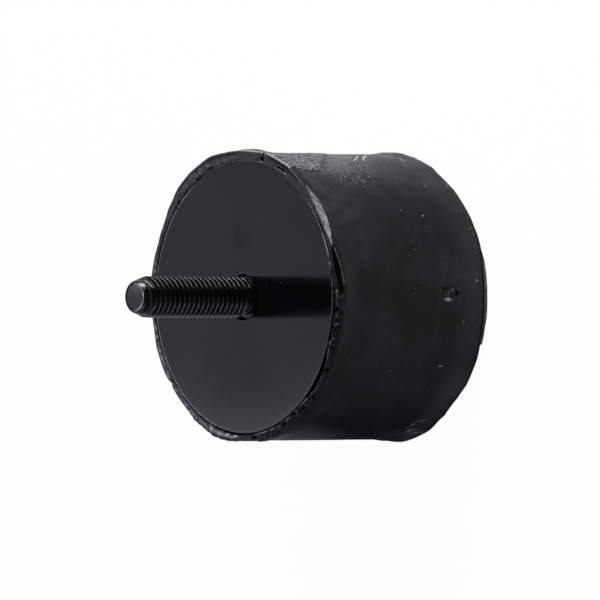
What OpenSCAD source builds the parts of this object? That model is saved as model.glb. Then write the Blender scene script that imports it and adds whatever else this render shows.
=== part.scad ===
// Cylindrical rubber engine mount with a stud at one end and a tapped bush at the other.
// A rubber body is bonded between two steel plates. The stud is a headed bolt pressed through the front
// plate, and the bush is pressed into the rear plate. Head and bush are moulded into the rubber.
// The mount stands on its rear plate: the origin is the centre of that plate's outer face, +Z runs along
// the stud, and +X points at the gate mark on the side of the rubber.

/* [Plates] */
// Height over the outer faces of the two plates
mount_h = 48; // [36:1:80]
// Diameter of both steel plates
plate_d = 65; // [50:1:90]
// Thickness of both steel plates
plate_t = 3; // [2:0.5:5]
// Chamfer around each plate's outer face
plate_chamfer = 0.3; // [0.1:0.1:0.6]

/* [Rubber] */
// Width of the rubber lip around the edge of each plate
lip_w = 2.5; // [1.6:0.1:5]
// How far each lip stops short of the plate's outer face
lip_drop = 0.5; // [0.2:0.1:1]
// Rounding of the lip's outer edge
lip_round = 0.7; // [0.3:0.1:1.2]
// Height of the straight band around each rim
rim_band = 1.5; // [1.2:0.1:3]
// Height of the flare from the straight side out to each rim
flare_h = 5; // [3:0.5:9]
// How far the side draws in between the two rims
waist_depth = 0.35; // [0.2:0.05:1.4]
// Thickness of the flash left along part of each rim
flash_t = 1; // [0.8:0.1:1.1]
// How far the flash stands out from the front rim
front_flash = 1; // [0.2:0.1:1.5]
// How far the flash stands out from the rear rim
rear_flash = 0.4; // [0.2:0.1:1.5]
// Thickness of the torn fin on the rear rim
fin_t = 0.4; // [0.3:0.1:0.7]
// How far the torn fin stands out from the rear rim
fin_reach = 0.5; // [0.3:0.1:1.5]
// How deep the knife cut the front lip, at the middle of its flat
front_trim = 1.4; // [0.5:0.1:1.5]
// How deep each flat was cut into the rear rim
rear_trim = 0.3; // [0.1:0.05:0.3]
// Diameter of the torn gate mark on the side
gate_d = 4.4; // [2:0.2:8]
// Depth of the gate mark
gate_depth = 0.5; // [0.2:0.1:0.9]
// Height of the gate mark above the rear plate's face
gate_z = 12; // [10:1:24]

/* [Stud] */
// Outer diameter of the stud's thread
stud_d = 10; // [6:1:16]
// Length of the stud beyond the front plate's face
stud_len = 34; // [15:1:60]
// Length of the tapered point at the stud's tip
point_len = 3.4; // [1:0.1:6]
// How much the point narrows on each side
point_drop = 1.1; // [0.4:0.1:1.4]
// Height of the bevel around the point's end
bevel_h = 0.35; // [0.2:0.05:0.6]
// Width of the bevel around the point's end
bevel_w = 0.75; // [0.3:0.05:1]
// Width of the neck's shoulder, from the thread out
neck_w = 0.6; // [0.3:0.1:2]
// Depth of the neck's shoulder below the plate's face
neck_drop = 0.9; // [0.3:0.1:1.5]
// Depth of the thread relief between the neck and the plate's face
relief_depth = 0.5; // [0.2:0.1:1.2]
// Diameter of the stud's head, behind the front plate
head_d = 20; // [18:0.5:30]
// Thickness of the stud's head
head_t = 3.5; // [2:0.5:6]
// Chamfer at the mouth of the front plate's hole
hole_chamfer = 0.25; // [0.1:0.05:0.5]

/* [Bush] */
// Outer diameter of the bush's thread
bush_thread_d = 10; // [6:1:12]
// Pitch of the bush's thread
thread_pitch = 1.5; // [1:0.25:1.75]
// Depth of the tapped hole
thread_depth = 11; // [6:0.5:18]
// Diameter of the bush where it is pressed into the rear plate
bush_d = 16; // [15:0.5:18]
// Diameter of the bush's collar, behind the rear plate
collar_d = 22; // [19:0.5:30]
// Thickness of the bush's collar
collar_t = 3; // [2:0.5:6]
// Steel left between the end of the tapped hole and the rubber
bush_floor = 2; // [1:0.5:4]
// How far the bush stops short of the rear plate's face
bush_drop = 0.2; // [0.1:0.1:0.5]

/* [Hidden] */
$fn = 96;

// Radii of the rubber at its rims and along its straight side
rim_r = plate_d / 2 + lip_w;
waist_r = rim_r - waist_depth;
// Radius of the flare, from its height and the depth of the waist
flare_r = (flare_h ^ 2 + waist_depth ^ 2) / (2 * waist_depth);
lip_top = mount_h - lip_drop;

// Directions in which the flash stands out furthest
front_flash_dir = 122;
rear_flash_dir = -74;
// Direction of the knife's flat on the front rim, and its lean from the mount's axis
front_trim_dir = 33.5;
trim_lean = 40;
// Directions of the flats on the rear rim
rear_trim_dirs = [56, 162, 236, 312];
// Stretch of the rear rim that the fin covers, from its torn end
fin_from = -19.5;
fin_sweep = 37;
// How far the fin's root is sunk into the rim
fin_root = 1;

// Radius of the ball that dishes the gate mark
gate_r = (gate_d ^ 2 / 4 + gate_depth ^ 2) / (2 * gate_depth);

neck_d = stud_d + 2 * neck_w;
stud_top = mount_h + stud_len;
point_r = stud_d / 2 - point_drop;
tap_d = bush_thread_d - thread_pitch;
bush_top = bush_drop + thread_depth + bush_floor;
collar_top = plate_t + collar_t;
// Overlap that lets a cut pass cleanly through a face
cut = 1;

rubber_color = [0.11, 0.11, 0.12];
plate_color = [0.19, 0.19, 0.21];
stud_color = [0.07, 0.07, 0.08];

// Half section of one rim: a straight band that flares into the side, with a rounded outer edge.
module rim_section() {
    difference() {
        square([rim_r, rim_band + flare_h]);
        translate([waist_r + flare_r, rim_band + flare_h]) circle(flare_r);
        translate([rim_r - lip_round, 0]) difference() {
            translate([0, -cut]) square([lip_round + cut, lip_round + cut]);
            translate([0, lip_round]) circle(lip_round);
        }
    }
}

// Half section of the rubber: the straight side between two rims.
module rubber_section() {
    translate([0, lip_drop]) rim_section();
    translate([0, lip_top]) mirror([0, 1]) rim_section();
    translate([0, lip_drop + rim_band]) square([waist_r, lip_top - lip_drop - 2 * rim_band]);
}

// Space that both steel ends take up inside the rubber.
module steel_space() {
    translate([0, 0, -cut]) cylinder(d = plate_d, h = plate_t + cut);
    cylinder(d = collar_d, h = collar_top);
    cylinder(d = bush_d, h = bush_top);
    translate([0, 0, mount_h - plate_t]) cylinder(d = plate_d, h = plate_t + cut);
    translate([0, 0, mount_h - plate_t - head_t]) cylinder(d = head_d, h = head_t + cut);
}

// Crescent of flash on one side of a rim, where the halves of the mould didn't line up.
module flash(azimuth, reach) {
    rotate(azimuth) translate([reach, 0, 0]) cylinder(r = rim_r, h = flash_t);
}

// Thin torn fin that stands out from part of the rear rim.
module fin() {
    rotate(fin_from) rotate_extrude(angle = fin_sweep)
        translate([rim_r - fin_root, lip_drop]) square([fin_root + fin_reach, fin_t]);
}

// Leaning flat on the front rim where a knife took off the flash.
module front_flat() {
    side = 2 * rim_r;
    rotate(front_trim_dir) translate([rim_r - front_trim, 0, lip_top]) rotate([0, -trim_lean, 0])
        translate([0, -side / 2, -side / 2]) cube(side);
}

// Upright flat on the rear rim.
module rear_flat(azimuth) {
    rotate(azimuth) translate([rim_r - rear_trim, -rim_r, 0])
        cube([rim_r, 2 * rim_r, lip_drop + rim_band + flare_h]);
}

// Shallow dish where the moulding gate was torn off.
module gate_mark() {
    translate([waist_r + gate_r - gate_depth, 0, gate_z]) sphere(gate_r);
}

module rubber_body() {
    color(rubber_color) difference() {
        union() {
            rotate_extrude() rubber_section();
            translate([0, 0, lip_top - flash_t]) flash(front_flash_dir, front_flash);
            translate([0, 0, lip_drop]) flash(rear_flash_dir, rear_flash);
            fin();
        }
        steel_space();
        front_flat();
        for (azimuth = rear_trim_dirs) rear_flat(azimuth);
        gate_mark();
    }
}

// Plain steel disc standing on its inner face, with a chamfer around its outer face.
module plate_disc() {
    cylinder(d = plate_d, h = plate_t - plate_chamfer);
    translate([0, 0, plate_t - plate_chamfer])
        cylinder(d1 = plate_d, d2 = plate_d - 2 * plate_chamfer, h = plate_chamfer);
}

module front_plate() {
    color(plate_color) translate([0, 0, mount_h - plate_t]) difference() {
        plate_disc();
        translate([0, 0, -cut]) cylinder(d = neck_d, h = plate_t + 2 * cut);
        translate([0, 0, plate_t - hole_chamfer])
            cylinder(d1 = neck_d, d2 = neck_d + 2 * (hole_chamfer + cut), h = hole_chamfer + cut);
    }
}

module rear_plate() {
    color(plate_color) difference() {
        translate([0, 0, plate_t]) mirror([0, 0, 1]) plate_disc();
        translate([0, 0, -cut]) cylinder(d = bush_d, h = plate_t + 2 * cut);
    }
}

// Half section of the headed bolt: head behind the plate, neck pressed in its hole, relief, thread and a
// tapered point with a bevelled end.
module stud_section() {
    head_low = mount_h - plate_t - head_t;
    head_high = mount_h - plate_t;
    neck_top = mount_h - neck_drop;
    relief_r = stud_d / 2 - relief_depth;
    polygon([
        [0, head_low], [head_d / 2, head_low], [head_d / 2, head_high],
        [neck_d / 2, head_high], [neck_d / 2, neck_top],
        [relief_r, neck_top], [relief_r, mount_h],
        [stud_d / 2, mount_h], [stud_d / 2, stud_top - point_len],
        [point_r, stud_top - bevel_h], [point_r - bevel_w, stud_top], [0, stud_top]
    ]);
}

module front_stud() {
    color(stud_color) rotate_extrude() stud_section();
}

// Blind tapped bush with a collar behind the plate and a countersunk mouth.
module rear_bush() {
    mouth = (bush_thread_d - tap_d) / 2;
    color(stud_color) difference() {
        union() {
            translate([0, 0, bush_drop]) cylinder(d = bush_d, h = bush_top - bush_drop);
            translate([0, 0, plate_t]) cylinder(d = collar_d, h = collar_t);
        }
        translate([0, 0, bush_drop - cut]) cylinder(d = tap_d, h = thread_depth + cut);
        translate([0, 0, bush_drop - cut])
            cylinder(d1 = bush_thread_d + 2 * cut, d2 = tap_d, h = mouth + cut);
    }
}

rubber_body();
front_plate();
front_stud();
rear_plate();
rear_bush();
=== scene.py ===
"""Dresses the cylindrical rubber engine mount: moulded rubber with trimmed flash, coated plates, threads."""
import itertools
import math

import bmesh
import bpy
import numpy as np
from mathutils import Matrix, Vector


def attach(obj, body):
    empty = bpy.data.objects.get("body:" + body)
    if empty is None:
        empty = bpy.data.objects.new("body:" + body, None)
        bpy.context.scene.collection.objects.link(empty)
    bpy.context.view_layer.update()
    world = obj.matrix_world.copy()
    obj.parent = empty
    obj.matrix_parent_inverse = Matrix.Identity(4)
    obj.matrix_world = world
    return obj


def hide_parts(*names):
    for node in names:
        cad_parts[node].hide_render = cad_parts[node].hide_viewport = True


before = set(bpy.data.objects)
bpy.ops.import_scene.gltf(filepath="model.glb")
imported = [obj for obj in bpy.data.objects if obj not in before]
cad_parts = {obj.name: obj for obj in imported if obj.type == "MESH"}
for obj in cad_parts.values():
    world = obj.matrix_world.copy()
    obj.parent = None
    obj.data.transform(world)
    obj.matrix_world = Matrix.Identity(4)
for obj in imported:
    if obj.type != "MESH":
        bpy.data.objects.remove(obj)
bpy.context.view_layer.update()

MM = 0.001

# Sizes of the solids, in millimetres
MOUNT_H = 48.0
PLATE_R = 32.5
PLATE_T = 3.0
RIM_R = 35.0
WAIST_R = 34.65
LIP_DROP = 0.5
LIP_ROUND = 0.7
RIM_BAND = 1.5
FLARE_H = 5.0
LIP_TOP = MOUNT_H - LIP_DROP
NECK_R = 5.6
NECK_TOP = 47.1
RELIEF_R = 4.5
STUD_R = 5.0
STUD_TOP = 82.0
TIP_R = 3.9
TIP_BEVEL = 0.35
HEAD_R = 10.0
HEAD_T = 3.5
PITCH = 1.5
BUSH_R = 8.0
COLLAR_R = 11.0
COLLAR_TOP = 6.0
BUSH_LOW = 0.2
BUSH_TOP = 13.2
TAP_R = 4.25
TAP_TOP = 11.2

# Fall of a plate's outer face towards its rim, the radius where it starts, and the rounding of the rim
CROWN_DROP = 0.22
CROWN_R = 18.0
EDGE_ROLL = 0.3
# Outer radius of the coat's rolled edge, which covers the joint of the front plate and the lip
COAT_R = 32.9
LIP_W = RIM_R - COAT_R
# Reach of the torn fin on the rear rim, before its ragged edge
FIN_R = 35.35
# Tip of the stud: fall of its taper, height where that shows, radius of the end and of the worn ring on it
TIP_SLOPE = 0.36
TAPER_LOW = 78.7
END_R = 3.5
RING_R = 3.22
# Height at the stud's root where the relief ends and the thread rises from it
RUNOUT_TOP = 49.0
# Middle of the torn gate: azimuth in degrees, and height
GATE_AZIMUTH = 1.0
GATE_Z = 11.8
# Degrees that a flat reaches to each side of its middle
FLAT_HALF = 30
# Distance within which a point counts as lying on a line
TOUCH = 0.01
# Columns of points around the turned pieces, and the angles in degrees over which an edge is sharp
PLATE_COLUMNS = 240
STUD_COLUMNS = 128
BUSH_COLUMNS = 96
STEEL_SHARP = 50
RUBBER_SHARP = 55

# Flash along the front rim: from and to azimuth, fade in degrees, height
FRONT_FLASH = [
    (62, 92, 14, 0.5), (112, 134, 18, 1.35), (114, 132, 8, 0.2), (124, 132, 5, 0.15), (144, 153, 6, 0.28),
    (166, 176, 9, 0.45), (200, 211, 6, 0.42), (241, 256, 10, 0.45), (250, 256, 6, 0.2), (-8, 10, 14, 0.2),
    (-80, -70, 6, 0.3),
]
# Places where the front rim falls short
FRONT_LOSS = [(216.6, 218.4, 1.6, 0.25), (29, 42, 6, 0.3), (-52, -30, 14, 0.2), (222, 230, 6, 0.1),
              (-93, -85, 5, 0.2)]
# Flash along the rear rim, and the flats that were cut off it as azimuth and distance from the axis
REAR_FLASH = [(-82, -66, 8, 0.5), (-38, -20, 6, 0.25), (16, 32, 10, 0.3), (84, 96, 6, 0.15)]
REAR_TRIMS = [(56, 34.7), (-48, 34.72), (162, 34.6), (236, 34.7)]


def value_noise(points, cell, seed):
    """Smooth random values from -1 to 1 at points, from hashed grid corners one cell apart."""
    q = points / cell
    base = np.floor(q).astype(np.int64)
    f = q - base
    f = f * f * (3 - 2 * f)
    total = np.zeros(points.shape[:-1])
    for corner in itertools.product((0, 1), repeat=3):
        h = base + np.array(corner)
        n = h[..., 0] * 374761393 + h[..., 1] * 668265263 + h[..., 2] * 1274126177 + seed * 974711
        n = (n ^ (n >> 13)) * 1103515245 & 0x7FFFFFFF
        n = (n ^ (n >> 16)) * 69069 & 0x7FFFFFFF
        weight = np.prod(np.where(np.array(corner) == 1, f, 1 - f), axis=-1)
        total += weight * (n / 0x3FFFFFFF - 1)
    return total


def smooth(x, low, high):
    """0 below low, 1 above high, with a smooth turn between. low may be above high."""
    t = np.clip((x - low) / (high - low), 0, 1)
    return t * t * (3 - 2 * t)


def off_azimuth(phi, centre):
    """Signed difference of azimuths in degrees, from -180 to 180."""
    return (phi - centre + 180) % 360 - 180


def arc(phi, low, high, soft):
    """1 between two azimuths in degrees, falling to 0 over soft degrees outside them."""
    middle, half = (low + high) / 2, (high - low) / 2
    return smooth(np.abs(off_azimuth(phi, middle)), half + soft, half)


def raised(phi, stretches):
    """Height at each azimuth over stretches of (from, to, fade, height)."""
    return sum(height * arc(phi, low, high, fade) for low, high, fade, height in stretches)


def bell(x, half):
    """1 at 0, falling smoothly to both sides with a half width."""
    return np.exp(-(x / half) ** 2)


def link_object(name, data):
    """Puts an object with its data into the scene."""
    obj = bpy.data.objects.new(name, data)
    bpy.context.scene.collection.objects.link(obj)
    return obj


def finish_mesh(name, bm, sharp_angle):
    """Makes a smooth object of a mesh, with edges that are sharp over an angle in degrees."""
    bmesh.ops.recalc_face_normals(bm, faces=bm.faces[:])
    mesh = bpy.data.meshes.new(name)
    bm.to_mesh(mesh)
    bm.free()
    mesh.shade_smooth()
    mesh.set_sharp_from_angle(angle=math.radians(sharp_angle))
    return link_object(name, mesh)


def dress(obj, material, node=None):
    """Gives a piece its finish and its body, and hides the node that it stands for, if there is one."""
    obj.data.materials.append(material)
    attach(obj, "root")
    if node:
        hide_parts(node)


def arc_points(centre, radius, start, end, count):
    """Points of a section on an arc, angles in degrees from the +r axis."""
    return [(centre[0] + radius * math.cos(math.radians(a)), centre[1] + radius * math.sin(math.radians(a)))
            for a in np.linspace(start, end, count)]


# Rubber body
def rubber_rows():
    """Section of the rubber as (radius, height, fin share) points, from the front cavity to the rear one."""
    rows = [(HEAD_R, MOUNT_H - PLATE_T - HEAD_T), (HEAD_R, MOUNT_H - PLATE_T), (PLATE_R, MOUNT_H - PLATE_T)]
    rows += [(COAT_R, z) for z in (45.7, 46.3, 46.8, 47.1, 47.35)]
    rows += [(COAT_R + 0.04, LIP_TOP - 0.05)]
    rows += [(r, LIP_TOP) for r in np.linspace(COAT_R + 0.1, RIM_R - LIP_ROUND, 22)]
    rows += arc_points((RIM_R - LIP_ROUND, LIP_TOP - LIP_ROUND), LIP_ROUND, 90, 0, 9)[1:]
    rows += [(RIM_R, z) for z in np.linspace(LIP_TOP - LIP_ROUND, LIP_TOP - RIM_BAND, 5)[1:]]
    depth = RIM_R - WAIST_R
    radius = (FLARE_H ** 2 + depth ** 2) / (2 * depth)
    flare = [(d, WAIST_R + radius - math.sqrt(radius ** 2 - (FLARE_H - d) ** 2))
             for d in np.linspace(0, FLARE_H, 12)[1:]]
    rows += [(r, LIP_TOP - RIM_BAND - d) for d, r in flare]
    side_low = LIP_DROP + RIM_BAND + FLARE_H
    side_high = LIP_TOP - RIM_BAND - FLARE_H
    # Rows lie closer together across the gate
    gate_high, gate_low = 15.2, 8.9
    stretches = ((side_high, gate_high, 26), (gate_high, gate_low, 24), (gate_low, side_low, 4))
    rows += [(WAIST_R, z) for high, low, count in stretches for z in np.linspace(high, low, count)[1:]]
    rows += [(r, LIP_DROP + RIM_BAND + d) for d, r in flare[::-1][1:]]
    rows = [(r, z, 0.0) for r, z in rows]
    rows += [(RIM_R, z, 0.0) for z in (2.0, 1.75, 1.5, LIP_DROP + LIP_ROUND)]
    corner = arc_points((RIM_R - LIP_ROUND, LIP_DROP + LIP_ROUND), LIP_ROUND, 0, -90, 9)[1:]
    rows += [(r, z, fin) for (r, z), fin in zip(corner, (0.0, 0.12, 0.97, 1.0, 1.0, 0.96, 0.5, 0.0))]
    rows += [(r, LIP_DROP, 0.0) for r in (33.7, 33.1, PLATE_R)]
    rows += [(PLATE_R, PLATE_T, 0.0), (COLLAR_R, PLATE_T, 0.0), (COLLAR_R, COLLAR_TOP, 0.0)]
    rows += [(BUSH_R, COLLAR_TOP, 0.0), (BUSH_R, BUSH_TOP, 0.0)]
    return np.array(rows)


def rubber_columns():
    """Azimuths in degrees, closer together along the torn side of the front rim."""
    fine = np.arange(-75, 105, 0.43)
    coarse = np.arange(105.2, 284.8, 0.72)
    return np.concatenate([fine, coarse])


# Knife trim of the front rim: azimuth, distance from the axis at the top of the lip, lean in degrees
KNIFE_TRIM = (35.5, 33.78, 30)
# Hollows of the front lip: azimuth, radius, half width along the rim and across it, depth
LIP_PITS = [
    (78.6, 33.8, 0.6, 0.5, 1.5), (78.0, 34.7, 0.35, 0.7, 1.0), (80.6, 33.3, 0.4, 0.2, 0.6),
    (67.4, 33.6, 0.8, 0.24, 0.9), (64.6, 33.75, 1.1, 0.28, 1.1), (61.6, 33.7, 0.7, 0.22, 0.8),
    (47.0, 33.2, 1.2, 0.14, 0.4), (42.0, 32.9, 0.5, 0.16, 0.6), (33.2, 33.0, 0.55, 0.32, 1.1),
    (30.0, 33.1, 0.5, 0.2, 0.5), (122.0, 33.5, 0.4, 0.24, 0.7), (131.0, 33.3, 1.0, 0.16, 0.5),
    (137.2, 33.4, 0.4, 0.25, 0.9), (150.0, 33.2, 0.6, 0.2, 0.6), (163.0, 33.1, 0.9, 0.18, 0.6),
    (104.0, 33.2, 0.7, 0.22, 0.4), (112.0, 33.4, 0.9, 0.2, 0.45), (203.0, 33.2, 0.9, 0.3, 0.6),
    (217.5, 34.3, 0.4, 0.8, 0.4), (-5.0, 34.2, 0.6, 0.4, 1.0), (-9.5, 34.4, 0.55, 0.4, 1.0),
    (-13.5, 34.1, 0.5, 0.45, 1.0), (-20.5, 34.5, 0.45, 0.4, 0.9), (-30.0, 34.5, 0.7, 0.3, 0.8),
    (-43.0, 34.5, 1.0, 0.25, 0.7), (-51.0, 34.2, 0.7, 0.3, 0.8), (-57.0, 33.6, 0.6, 0.35, 0.7),
    (-64.0, 34.0, 0.7, 0.4, 0.6), (-74.0, 33.8, 0.8, 0.35, 0.6), (-83.0, 34.1, 0.7, 0.4, 0.6),
]
# Pale crumbs on the front lip: azimuth, radius, half width
LIP_CRUMBS = [
    (123.2, 33.9, 0.3), (138.4, 33.75, 0.3), (112.5, 33.6, 0.2), (249.0, 34.0, 0.4), (254.5, 34.3, 0.45),
    (259.5, 33.9, 0.45), (262.0, 34.4, 0.4), (264.5, 33.7, 0.35), (235.0, 33.7, 0.35), (227.0, 33.8, 0.3),
    (47.5, 32.6, 0.25), (44.0, 32.5, 0.3), (40.5, 32.4, 0.2), (33.8, 32.5, 0.3), (2.5, 33.9, 0.25),
    (-3.0, 34.5, 0.22), (-7.5, 34.3, 0.25), (-11.0, 34.6, 0.22), (-17.0, 34.4, 0.25), (-25.5, 34.0, 0.22),
    (-47.0, 33.3, 0.3), (-55.0, 33.0, 0.3), (-60.0, 33.0, 0.25),
]


def film_share(phi, z):
    """1 where a film of flash lies on the top of the side, next to the front rim."""
    reach = np.interp(phi, [60, 63, 68, 75, 88, 104], [9.0, 10.5, 13.9, 18.2, 24.6, 25.0])
    edge = smooth(z, LIP_TOP - reach - 0.5, LIP_TOP - reach + 0.1)
    end = np.where(z > LIP_TOP - RIM_BAND, smooth(phi, 84, 78), smooth(phi, 112, 106))
    return edge * smooth(phi, 60.4, 61.2) * end * smooth(z, LIP_TOP + 0.1, LIP_TOP - 0.3)


def over_corner(r, z, angle):
    """Way out across the lip and on down the corner of the front rim, as one length."""
    return r + 1.17 * np.cos(angle) * (MOUNT_H - 0.2 - z)


class Grid:
    """Points over the rubber: rows run along its section, columns around its axis."""

    def __init__(self):
        rows = rubber_rows()
        self.phi, self.rest_r = np.meshgrid(rubber_columns(), rows[:, 0])
        self.rest_z = np.repeat(rows[:, 1:2], self.phi.shape[1], axis=1)
        self.fin_row = np.repeat(rows[:, 2:3], self.phi.shape[1], axis=1)
        self.angle = np.radians(self.phi)
        self.r, self.z = self.rest_r, self.rest_z
        self.rest = self.points()
        self.crumbs = self.noise(0.55, 22)
        self.share_out()

    def share_out(self):
        """Share of each point in the outer skin, both rims, the front lip and the front rim's corner."""
        r, z = self.rest_r, self.rest_z
        self.skin = np.where(r > PLATE_R - TOUCH, 1.0, 0.0)
        self.across = np.clip((r - COAT_R) / LIP_W, 0, 1)
        on_front_lip = z > LIP_TOP - LIP_ROUND - TOUCH
        on_rear_lip = z < LIP_DROP + TOUCH
        self.front = self.skin * smooth(z, 39.5, 46.3) * np.where(on_front_lip, self.across, 1)
        self.rear = self.skin * smooth(z, 8.5, 2.0) * np.where(on_rear_lip, self.across, 1)
        self.lip = self.skin * (r < RIM_R - TOUCH) * smooth(z, 46.0, 47.2)
        self.corner = self.skin * smooth(z, 44.6, 46.6) * smooth(r, 33.6, 34.4)

    def points(self):
        return np.stack([self.r * np.cos(self.angle), self.r * np.sin(self.angle), self.z], axis=-1)

    def noise(self, cell, seed, height_scale=1.0):
        return value_noise(self.rest * np.array([1, 1, height_scale]), cell, seed)

    def arc(self, low, high, soft):
        return arc(self.phi, low, high, soft)

    def along(self, azimuth, radius):
        """Length around the axis from an azimuth, at a radius."""
        return off_azimuth(self.phi, azimuth) * math.pi / 180 * radius


def shape_rims(grid):
    """Flash and flats of both rims, and the torn fin of the rear one."""
    grid.r = grid.r + grid.front * (raised(grid.phi, FRONT_FLASH) - raised(grid.phi, FRONT_LOSS))
    rim = RIM_R + raised(grid.phi, REAR_FLASH)
    for azimuth, distance in REAR_TRIMS:
        off = np.abs(off_azimuth(grid.phi, azimuth))
        flat = distance / np.cos(np.radians(np.minimum(off, FLAT_HALF)))
        rim = np.where(off < FLAT_HALF, np.minimum(rim, flat), rim)
    grid.r = grid.r + grid.rear * (rim - RIM_R)
    grid.r = grid.r - grid.rear * smooth(grid.z, 4, 2) * 0.2 * grid.arc(-18, 12, 6)
    grid.fin = smooth(grid.phi, -19.4, -18.9) * smooth(grid.phi, 22, 13) + 0.35 * grid.arc(21, 26, 2)
    ragged = grid.noise(1.1, 5) * 0.09 + grid.noise(3.5, 6) * 0.07
    grid.r = grid.r + grid.fin_row * grid.fin * np.maximum(FIN_R - grid.r + ragged, 0)
    uneven = 0.05 * grid.noise(2.2, 7) + 0.04 * grid.noise(0.9, 8)
    grid.r = grid.r + grid.rear * smooth(grid.z, 4, 1.5) * uneven


def shape_side(grid):
    """Uneven side, with the film of flash along its top."""
    side = grid.skin * smooth(grid.z, LIP_TOP, 45) * smooth(grid.z, 0.4, 3)
    grid.r = grid.r + side * (0.05 * grid.noise(11, 11) + 0.018 * grid.noise(3.2, 12))
    lumps = grid.noise(1.3, 13, 0.8) + 0.7 * grid.noise(0.7, 14)
    grid.r = grid.r + grid.skin * film_share(grid.phi, grid.z) * (0.20 + 0.07 * lumps)


def shape_gate(grid):
    """Torn gate on the side: a crater with a ledge, strands and two raised threads in it."""
    x = grid.along(GATE_AZIMUTH, WAIST_R)
    z = grid.z - GATE_Z
    turn = np.arctan2(z, x)
    distance = np.hypot(x, z * 0.8) * (1 + 0.1 * np.sin(3 * turn + 1) + 0.07 * np.sin(5 * turn))
    grid.crater = grid.skin * smooth(distance, 2.3, 1.9)
    fibres = value_noise(np.stack([x * 0.6, z * 2.2, x * 0], axis=-1), 1.1, 21)
    ledge = smooth(x, -1.5, -1.05)
    grid.far_wall = grid.skin * bell(z + 2.6, 0.32) * bell(x - 0.3, 0.8)
    torn_depth = 0.15 + ledge * (0.42 + 0.3 * fibres) + 0.12 * grid.crumbs
    grid.r = grid.r - grid.crater * torn_depth - 0.6 * grid.far_wall
    leaning = z + 1.06 + 0.5 * (x - 1.2)
    threads = np.maximum(bell(z - 0.2, 0.3) * bell(x - 0.75, 0.75), bell(leaning, 0.35) * bell(x - 1.2, 0.75))
    grid.r = grid.r + 0.28 * threads * grid.skin
    strands = smooth(-fibres, -0.15, 0.3) * smooth(x, -0.9, 0.0) * smooth(distance, 2.0, 1.4)
    strands = np.maximum(0.45 * strands * smooth(z, 1.4, 0.7), threads)
    grid.torn_edge = grid.skin * bell(x + 1.2, 0.3) * bell(z - 0.4, 0.9)
    grid.gate_pale = np.maximum(0.9 * strands * grid.skin, grid.torn_edge)


def shape_lip(grid):
    """Lip with a low crown, flush with the plate at the top right and lower along the torn side."""
    grid.torn = grid.arc(-17, 6, 3)
    grid.rough = np.maximum.reduce([grid.torn, 0.7 * grid.arc(-122, -94, 6), 0.3 * grid.arc(-92, -48, 8)])
    flush = grid.arc(50, 98, 12)
    broken = smooth(grid.noise(1.3, 30), -0.5, 0.3)
    sunk = (0.3 + 0.7 * broken) * (1 - 0.8 * grid.arc(-90, -54, 6))
    crown = 0.25 * np.sin(np.pi * grid.across) - 0.40 * sunk * smooth(grid.across, 0.14, 0)
    height = (1 - flush) * crown + 0.53 * flush - 0.25 * grid.torn - 0.1 * grid.arc(-60, -20, 10)
    height = height + 0.10 * grid.noise(4.0, 31) * (1 - flush) + 0.05 * grid.noise(1.2, 32)
    height = height + grid.rough * (0.28 * grid.noise(0.9, 33) + 0.15 * grid.noise(0.5, 34))
    grid.crumbled = grid.arc(98, 176, 10) * smooth(grid.across, 0.75, 0.1)
    height = height + grid.crumbled * (0.30 * grid.noise(0.8, 38) + 0.2 * grid.noise(0.45, 39))
    grid.z = grid.z + grid.lip * height * smooth(grid.rest_z, 46.6, 47.45)
    ragged = 0.30 * grid.noise(1.0, 35) + 0.16 * grid.noise(0.55, 36)
    grid.r = grid.r + grid.corner * grid.rough * ragged
    grid.r = grid.r + grid.corner * (1 - grid.rough) * 0.05 * grid.noise(1.4, 37)


def part_lip(grid):
    """Gap where the lip came off the edge of the plate; at the top right it laps over that edge instead."""
    gap = 0.95 * smooth(grid.phi, -52, -39) * smooth(grid.phi, -16, -33) + 0.03
    gap = gap + 0.35 * grid.arc(165, 262, 20) * (1 + 0.5 * grid.noise(3.0, 41))
    gap = gap + 0.22 * grid.arc(10, 30, 4) - grid.arc(33, 47, 3) * (0.55 + 0.3 * grid.noise(1.5, 42))
    gap = gap - 0.3 * grid.arc(54, 112, 8)
    grid.r = grid.r + grid.skin * (1 - grid.across) * smooth(grid.rest_z, 44.9, 46.2) * gap


def mark_lip(grid):
    """Pits and crumbs along the lip."""
    near = grid.skin * (grid.rest_z > 46)
    grid.pits, grid.lip_crumbs = np.zeros_like(grid.r), np.zeros_like(grid.r)
    for azimuth, radius, half_along, half_across, depth in LIP_PITS:
        pit = near * bell(grid.along(azimuth, radius), half_along) * bell(grid.r - radius, half_across)
        grid.z = grid.z - pit * depth * (1 + 0.4 * grid.crumbs)
        grid.pits = np.maximum(grid.pits, pit * min(depth, 1))
    for azimuth, radius, half in LIP_CRUMBS:
        crumb = near * bell(grid.along(azimuth, radius), half) * bell(grid.r - radius, half)
        grid.lip_crumbs = np.maximum(grid.lip_crumbs, crumb)


def cut_groove(grid):
    """Groove left below the knife trim, with the pale line beside it and the curl at its end."""
    out = over_corner(grid.rest_r, grid.rest_z, grid.angle)
    middle = np.interp(grid.phi, [3, 20], [36.1, 34.95])
    half = np.interp(grid.phi, [3, 11, 20], [0.9, 0.85, 0.45])
    reach = smooth(grid.phi, 21, 18) * smooth(grid.phi, -2, 3)
    reach = reach * smooth(grid.rest_r, 33.7, 34.2) * (grid.rest_z > 45)
    grid.groove = reach * bell(out - middle, half)
    grid.r = grid.r - grid.groove * 1.5
    grid.z = grid.z - grid.groove * 0.9
    line = bell(out - middle - 1.35 * half, 0.18) * grid.arc(5, 19, 2)
    grid.groove_line = line * smooth(grid.rest_r, 34.2, 34.5) * (grid.rest_z > 44)
    grid.curl = 0.9 * bell(out - 34.5 + 0.26 * (grid.phi - 0.5), 0.18) * grid.arc(0.0, 6.0, 1.0)


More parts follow.
